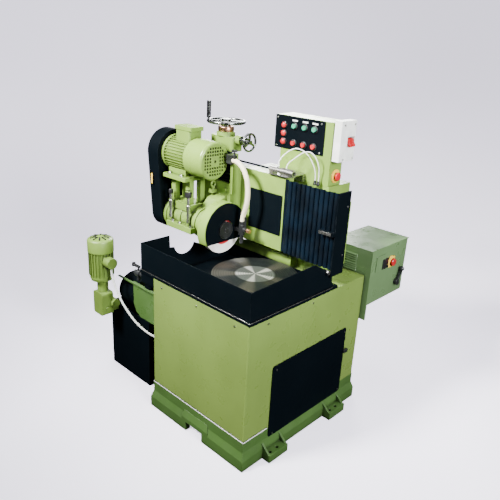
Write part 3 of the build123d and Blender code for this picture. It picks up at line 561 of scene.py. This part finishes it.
SENSOR_ROUTE_1 = [
    (-0.046, 0.104, 1.025), (-0.046, 0.104, 1.043), (-0.035, 0.122, 1.072), (-0.010, 0.147, 1.098),
    (0.014, 0.159, 1.098), (0.038, 0.167, 1.087), (0.060, 0.172, 1.066), (0.074, 0.178, 1.039),
    (0.082, 0.184, 1.012), (0.082, 0.184, 0.983)]
SENSOR_ROUTE_2 = [
    (-0.002, 0.104, 1.025), (-0.002, 0.104, 1.041), (0.018, 0.120, 1.063), (0.042, 0.141, 1.090),
    (0.064, 0.154, 1.097), (0.084, 0.162, 1.085), (0.097, 0.169, 1.062), (0.102, 0.176, 1.036),
    (0.098, 0.184, 1.010), (0.098, 0.184, 0.983)]
HOSE_ROUTE = [
    (-0.218, 0.024, 1.026), (-0.193, 0.024, 1.026), (-0.160, 0.024, 1.006), (-0.137, 0.024, 0.970),
    (-0.127, 0.024, 0.930), (-0.126, 0.024, 0.885), (-0.135, 0.024, 0.840), (-0.150, 0.024, 0.803),
    (-0.150, 0.024, 0.771)]
SEPARATOR_ROUTE = [
    (-0.562, -0.346, 0.535), (-0.560, -0.346, 0.506), (-0.540, -0.345, 0.462), (-0.511, -0.341, 0.413),
    (-0.474, -0.332, 0.366), (-0.434, -0.322, 0.328), (-0.388, -0.310, 0.300), (-0.342, -0.292, 0.280),
    (-0.308, -0.262, 0.262), (-0.283, -0.262, 0.262)]


def cords():
    """The two sensor leads, the coolant hose with its lower clip, and the separator's lead."""
    cord("sensor_lead_1", "sensor_cable_1", SENSOR_ROUTE_1, 0.0044,
         "machine", GREY_SHEATH)
    cord("sensor_lead_2", "sensor_cable_2", SENSOR_ROUTE_2, 0.0044,
         "machine", GREY_SHEATH)
    cord("coolant_hose_line", "coolant_hose", HOSE_ROUTE, 0.020,
         "head", CREAM_HOSE)
    cord("separator_lead", "separator_cable", SEPARATOR_ROUTE, 0.0092,
         "machine", GREY_SHEATH)
    clip = [(771.5, 11.2), (771.5, 12.0), (786, 12.0), (786, 11.2)]
    turned("hose_clip_low", "Z", (-150, 24), clip, BLACKENED, "head")


# ---- operator panel ----
BUTTON_COLUMNS = (-51, 1, 50)
START_Z, STOP_Z = 1175, 1108
LAMP_X, LAMPS_Z = -104, (1174, 1141, 1108)
STOP_PLACES = {"column": (134, 242, 1003), "cabinet": (283, 515, 620)}


def panel_fittings():
    """Button collars, lamp rims, cable glands and the pan's tap, all dark, and the red lamp lenses."""
    y = PANEL_FACE
    collar = [(y, 9.6), (y, 14.5), (y - 2.5, 14.5), (y - 4, 13.2), (y - 4, 9.6)]
    lamp_rim = [(y, 0.2), (y, 14.5), (y - 3, 14.5), (y - 5, 12.6), (y - 5, 0.2)]
    lens = [(y - 4.5, 11.5), (y - 8, 11.2), (y - 10.5, 9.0), (y - 12, 5.5), (y - 12.5, 0.4)]
    collars = bmesh.new()
    for x in BUTTON_COLUMNS:
        for z in (START_Z, STOP_Z):
            lathe(collars, "Y", (x, z), collar, 32, hollow=True)
    for z in LAMPS_Z:
        lathe(collars, "Y", (LAMP_X, z), lamp_rim, 32)
    piece = add_piece("button_collars", collars, BLACKENED, "machine")
    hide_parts("panel_fittings")
    taps = bmesh.new()
    for x in (82, 98):
        lathe(taps, "Z", (x, 184), [(965, 7), (972, 7), (973, 6), (983, 5.4), (983, 2.0)], 24)
    lathe(taps, "X", (-262, 262), [(-265, 11), (-276, 11), (-278, 8.5), (-283, 7.5), (-283, 4.6)], 24)
    lathe(taps, "X", (-322, 564), [(-350, 9), (-378, 9), (-380, 14), (-406, 14), (-408, 9), (-420, 9)], 32)
    lathe(taps, "Z", (-394, -322), [(534, 5), (534, 8), (577, 8), (578, 6)], 24)
    add_piece("glands_and_tap", taps, BLACKENED, "machine")
    for k, z in enumerate(LAMPS_Z, start=1):
        turned(f"lamp_lens_{k}", "Y", (LAMP_X, z), lens, RED_PLASTIC, "machine", 32)


def stop_buttons():
    """Yellow collars under red mushroom heads."""
    for name, (x, y, z) in STOP_PLACES.items():
        collar = [(x, 8.6), (x, 27), (x + 3, 27), (x + 4, 25.5), (x + 4, 8.6)]
        turned(f"stop_collar_{name}", "X", (y, z), collar, YELLOW_PLASTIC, "machine", 48,
               hollow=True)
        head = [(x + 0.6, 8), (x + 9, 8), (x + 9.5, 15), (x + 11, 16.8),
                (x + 15, 17), (x + 18, 14.5), (x + 19, 9), (x + 19, 0.4)]
        piece = turned(f"stop_head_{name}", "X", (y, z), head, RED_PLASTIC, f"{name}_stop", 48)
        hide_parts(f"estop_{name}")


def blank_labels():
    """Plain plates with no lettering: over the start buttons and on the electrical cabinet."""
    x, y = CABINET_FACE, PANEL_FACE
    labels = [((column - 13, y - 0.8, 1193), (column + 13, y + 0.2, 1199)) for column in BUTTON_COLUMNS]
    plates("button_labels", labels, WHITE_PAINT, "machine", 0.3)
    yellow = [((x, 492, 597), (x + 1.6, 538, 643))]
    plates("stop_plate", yellow, YELLOW_PLASTIC, "machine", 0.5)
    black = [((x, 440, 600), (x + 1.4, 486, 646))]
    plates("cabinet_plate", black, BLACK_PLASTIC, "machine", 0.5)


# ---- trims ----
def trims():
    """White and black lines just above the base, a bright steel strip on the pan's rim as a painted highlight
    of the light its top edge catches, and the belt guard's yellow mark.
    """
    x, y, low, high = SIDE + 1.2, FRONT - 1.2, BASE_TOP, BASE_TOP + 5
    inner_x, inner_y, side_end = SIDE - 0.1, FRONT + 0.1, -219
    white = [((-x, y, low), (x, inner_y, high)), ((inner_x, y, low), (x, side_end, high)),
             ((-x, y, low), (-inner_x, -FRONT, high))]
    plates("white_line", white, WHITE_PAINT, "machine", 0.4)
    x, y, low, high = SIDE + 1.0, FRONT - 1.0, BASE_TOP + 5.2, BASE_TOP + 8
    black = [((-x, y, low), (x, inner_y, high)), ((inner_x, y, low), (x, side_end, high))]
    plates("black_line", black, BLACK_PLASTIC, "machine", 0.4)
    # Painted highlight: a bright strip where the pan's top edge catches the light.
    x, y, low, high = SIDE + 0.8, FRONT - 0.8, PAN_RIM - 2, PAN_RIM + 0.8
    rim = [((-350, y, low), (x, FRONT + 0.2, high)), ((SIDE - 0.2, y, low), (x, 119, high))]
    plates("pan_rim_highlight", rim, BRIGHT_ROD, "machine", 0.3)
    mark = [((-570, -125.5, 880), (-560, -123.5, 925))]
    plates("guard_mark", mark, YELLOW_PLASTIC, "head", 0.5)


# ---- turned details ----
def graduated_ring():
    """Copper-coloured ring on the elevating screw, with a longer mark at every fifth division."""
    radius, marks_top, divisions = 33.6, 1141.5, 50
    profile = [(1125.7, 30), (1125.7, 33.1), (1128, radius), (1142, radius),
               (1144.5, 32.4), (1146.2, 30), (1146.2, 21)]
    turned("graduated_ring", "Z", SCREW, profile, RING_COPPER, "elevating", 72)
    marks = bmesh.new()
    for k in range(divisions):
        a = 2 * pi * k / divisions
        reach = 8 if k % 5 == 0 else 5
        x, y = SCREW[0] + radius * cos(a), SCREW[1] + radius * sin(a)
        centre = Vector((x, y, marks_top - reach / 2)) * MM
        turn = Matrix.Translation(centre) @ Matrix.Rotation(a, 4, "Z")
        size = Matrix.Diagonal((0.4 * MM, 0.7 * MM, reach * MM, 1.0))
        bmesh.ops.create_cube(marks, size=1.0, matrix=turn @ size)
    add_piece("ring_marks", marks, BLACK_PLASTIC, "elevating", smooth=False)


def guard_face():
    """Black disc on the wheel guard's front, open round the hub and cut straight below."""
    centre_y, centre_z, low_z = SPINDLE[0], SPINDLE[1] + 2, 698.6
    outer, inner, steps = 111.5, 39.3, 120
    build = bmesh.new()
    layers = [[], []]
    for k in range(steps):
        a = 2 * pi * k / steps
        reach = outer if sin(a) >= 0 else min(outer, (low_z - centre_z) / sin(a))
        for layer, x in zip(layers, (-189.9, -189.0)):
            ends = [Vector((x, centre_y + r * cos(a), centre_z + r * sin(a))) * MM for r in (inner, reach)]
            layer.append([build.verts.new(v) for v in ends])
    back, front = layers
    for k in range(steps):
        j = (k + 1) % steps
        back_a, back_b, front_a, front_b = back[k], back[j], front[k], front[j]
        build.faces.new((back_a[0], back_a[1], back_b[1], back_b[0]))
        build.faces.new((front_a[0], front_b[0], front_b[1], front_a[1]))
        for side in (0, 1):
            build.faces.new((back_a[side], back_b[side], front_b[side], front_a[side]))
    bmesh.ops.recalc_face_normals(build, faces=build.faces)
    add_piece("guard_face", build, PAINT_BLACK, "head")


def separator_dome():
    """Domed fan cowl on the separator motor, with black bars in a star as painted shade for its air slots."""
    slot_count, slot_radius, slot_z, slot_slope = 10, 30, 660.0, radians(11)
    profile = [(597, 54.0), (597, 56), (646, 56), (651, 54), (655, 48), (658.6, 37), (660.4, 24), (661, 0.4)]
    turned("separator_cowl", "Z", SEPARATOR, profile, CAST_GREEN, "machine")
    # Painted shade: black bars set where the cowl's air slots are dark inside.
    slots = bmesh.new()
    size = Matrix.Diagonal((26 * MM, 5.5 * MM, 3.6 * MM, 1.0))
    for k in range(slot_count):
        spoke = Matrix.Translation(on_axis("Z", SEPARATOR, slot_z) * MM)
        spoke @= Matrix.Rotation(2 * pi * k / slot_count, 4, "Z")
        spoke @= Matrix.Translation(Vector((slot_radius, 0, 0)) * MM) @ Matrix.Rotation(slot_slope, 4, "Y")
        bmesh.ops.create_cube(slots, size=1.0, matrix=spoke @ size)
    add_piece("separator_slot_shades", slots, BLACK_PLASTIC, "machine", smooth=False)


def fan_shade_disc():
    """Painted shade: a thin black disc close behind the cowl's air holes, so that they look dark inside."""
    shade_profile = [(-272, 0.4), (-272, 64), (-270.6, 64), (-270.6, 0.4)]
    turned("fan_shade_disc", "X", MOTOR, shade_profile, BLACK_PLASTIC, "head", 64)


def bolt_head(build, at, start, radius, height):
    """An upright hexagon head with a chamfered top."""
    profile = [(start, 0.3), (start, radius), (start + height * 0.75, radius),
               (start + height, radius * 0.8), (start + height, 0.3)]
    lathe(build, "Z", at, profile, 6)


def motor_bolts():
    """Bright bolt heads on the motor plate beside the motor's feet, and on the spindle housing's ledge."""
    build = bmesh.new()
    for x in (-478, -402):
        for y in (-96, 34):
            bolt_head(build, (x, y), 939.2, 7.5, 8)
    for x in (-440, -395, -320):
        bolt_head(build, (x, -108), 738.2, 7, 7)
    add_piece("motor_bolts", build, BRIGHT, "head")


def tension_studs():
    """Turned sleeves on the two belt-tension studs; the left one ends in a cap, the right one in a knob."""
    sleeves = bmesh.new()
    for x, top in ((LEFT_STUD, 866), (RIGHT_STUD, 862)):
        sleeve = [(751, 6.2), (751, 8.5), (760, 8.5), (768, 6.6), (800, 6.6),
                  (803, 9.0), (826, 9.0), (829, 6.6), (top - 2, 6.6), (top, 6.2)]
        lathe(sleeves, "Z", (x, STUDS_Y), sleeve, 32, hollow=True)
    add_piece("stud_sleeves", sleeves, BRIGHT, "head")
    knob = [(860, 6.3), (860, 11), (863, 13.4), (884, 14.2), (889, 12.5), (891.5, 8), (892, 0.3)]
    turned("stud_knob", "Z", (RIGHT_STUD, STUDS_Y), knob, BLACK_PLASTIC, "head", 32)
    cap = [(856, 6.3), (856, 9.5), (872, 9.5), (875, 7), (875.5, 0.3)]
    turned("stud_cap", "Z", (LEFT_STUD, STUDS_Y), cap, BLACK_PLASTIC, "head", 32)


def wheel_blotter():
    """Red paper washer between the hub's flange and the wheel."""
    washer = [(-200.9, 36.5), (-200.9, 63), (-200.3, 63), (-200.3, 36.5)]
    turned("wheel_blotter", "X", SPINDLE, washer, RED_PLASTIC, "spindle", 64, hollow=True)


def latch_bar():
    """Bright angle over the roller on the bellows' end plate."""
    boxes = [((206, 67.2, 823), (262, 69.0, 835)), ((206, 67.2, 833), (262, 82, 835))]
    plates("latch_bar", boxes, BRIGHT, "machine")


# ---- stage, camera and light ----
def floor():
    """Pale paper, in metres: flat under the machine and swept up behind it, square to the camera."""
    build = bmesh.new()
    reach, back, lift, bend, half_width = 6.0, 3.2, 4.5, 1.2, 9.0
    sides = (-half_width, half_width)
    sweep = [radians(6 * k) for k in range(16)]
    curve = [(back - bend + bend * sin(a), bend - bend * cos(a)) for a in sweep]
    profile = [(-reach, 0.0)] + curve + [(back, lift)]
    turn = Matrix.Rotation(radians(43), 4, "Z")
    rows = [[build.verts.new(turn @ Vector((x, y, z))) for x in sides] for y, z in profile]
    for a, b in zip(rows, rows[1:]):
        build.faces.new((a[0], a[1], b[1], b[0]))
    s = Surface("studio_paper", roughness=0.9)
    tone = s.mix(s.remap(s.noise(1.5, 2.0), 0.3, 0.7, 0.0, 1.0), (0.78, 0.76, 0.88), (0.83, 0.81, 0.92))
    s.shader.inputs["Emission Color"].default_value = (0.87, 0.83, 1.0, 1.0)
    s.shader.inputs["Emission Strength"].default_value = 1.45
    s.finish(tone, 0.9, s.bump(s.noise(150.0, 3.0), 0.0008, 0.3))
    mesh = bpy.data.meshes.new("studio_floor")
    build.to_mesh(mesh)
    build.free()
    mesh.materials.append(s.material)
    for face in mesh.polygons:
        face.use_smooth = True
    obj = bpy.data.objects.new("studio_floor", mesh)
    bpy.context.scene.collection.objects.link(obj)
    obj.visible_diffuse = False
    obj.visible_glossy = False


def camera():
    """Camera off the front right corner at about eye height, looking down, with a slight roll."""
    place, lens = (1.3639, -1.5455, 1.4838), 39.88
    yaw, pitch, roll = radians(42.96), radians(20.69), radians(3.15)
    forward = Vector((-sin(yaw) * cos(pitch), cos(yaw) * cos(pitch), -sin(pitch)))
    right = Vector((cos(yaw), sin(yaw), 0.0))
    up = right.cross(forward)
    across = right * cos(roll) + up * sin(roll)
    upward = up * cos(roll) - right * sin(roll)
    data = bpy.data.cameras.new("view")
    data.sensor_width = 36.0
    data.lens = lens
    obj = bpy.data.objects.new("view", data)
    axes = Matrix((across, upward, -forward)).transposed().to_4x4()
    obj.matrix_world = Matrix.Translation(place) @ axes
    bpy.context.scene.collection.objects.link(obj)
    bpy.context.scene.camera = obj


def area_light(name, place, target, size, power, colour=(1.0, 1.0, 1.0), spread=160):
    """A round lamp, placed and sized in metres, aimed at a point; spread is in degrees."""
    data = bpy.data.lights.new(name, "AREA")
    data.shape = "DISK"
    data.size = size
    data.energy = power
    data.color = colour
    data.spread = radians(spread)
    obj = bpy.data.objects.new(name, data)
    obj.location = place
    obj.rotation_euler = (Vector(target) - Vector(place)).to_track_quat("-Z", "Y").to_euler()
    bpy.context.scene.collection.objects.link(obj)


def lights():
    """A soft sky that is darker from below, and four lamps, the last for views from behind."""
    world = bpy.data.worlds.new("studio")
    world.use_nodes = True
    nodes, links = world.node_tree.nodes, world.node_tree.links
    background = nodes["Background"]
    split = nodes.new("ShaderNodeSeparateXYZ")
    links.new(nodes.new("ShaderNodeTexCoord").outputs["Generated"], split.inputs["Vector"])
    height = nodes.new("ShaderNodeMapRange")
    for socket, number in zip(("From Min", "From Max", "To Min", "To Max"), (-0.4, 0.5, 0.03, 0.34)):
        height.inputs[socket].default_value = number
    links.new(split.outputs["Z"], height.inputs["Value"])
    links.new(height.outputs["Result"], background.inputs["Strength"])
    background.inputs["Color"].default_value = (0.88, 0.90, 0.95, 1.0)
    bpy.context.scene.world = world
    area_light("key", (-0.7, -2.2, 2.8), (-0.15, 0.0, 1.02), 0.7, 56, (1.0, 0.98, 0.93), 54)
    area_light("fill", (2.9, -0.5, 2.0), (0.0, 0.0, 0.85), 1.2, 44, (1.0, 1.0, 1.0), 70)
    area_light("top", (-0.2, 0.4, 3.2), (-0.1, 0.0, 0.6), 1.4, 34)
    area_light("back", (-1.9, 2.3, 2.0), (-0.1, 0.1, 0.7), 1.4, 26, (1.0, 1.0, 1.0), 80)


dress_nodes()
bellows()
way_cover()
cords()
panel_fittings()
stop_buttons()
blank_labels()
trims()
graduated_ring()
separator_dome()
guard_face()
fan_shade_disc()
motor_bolts()
tension_studs()
wheel_blotter()
latch_bar()
floor()
camera()
lights()
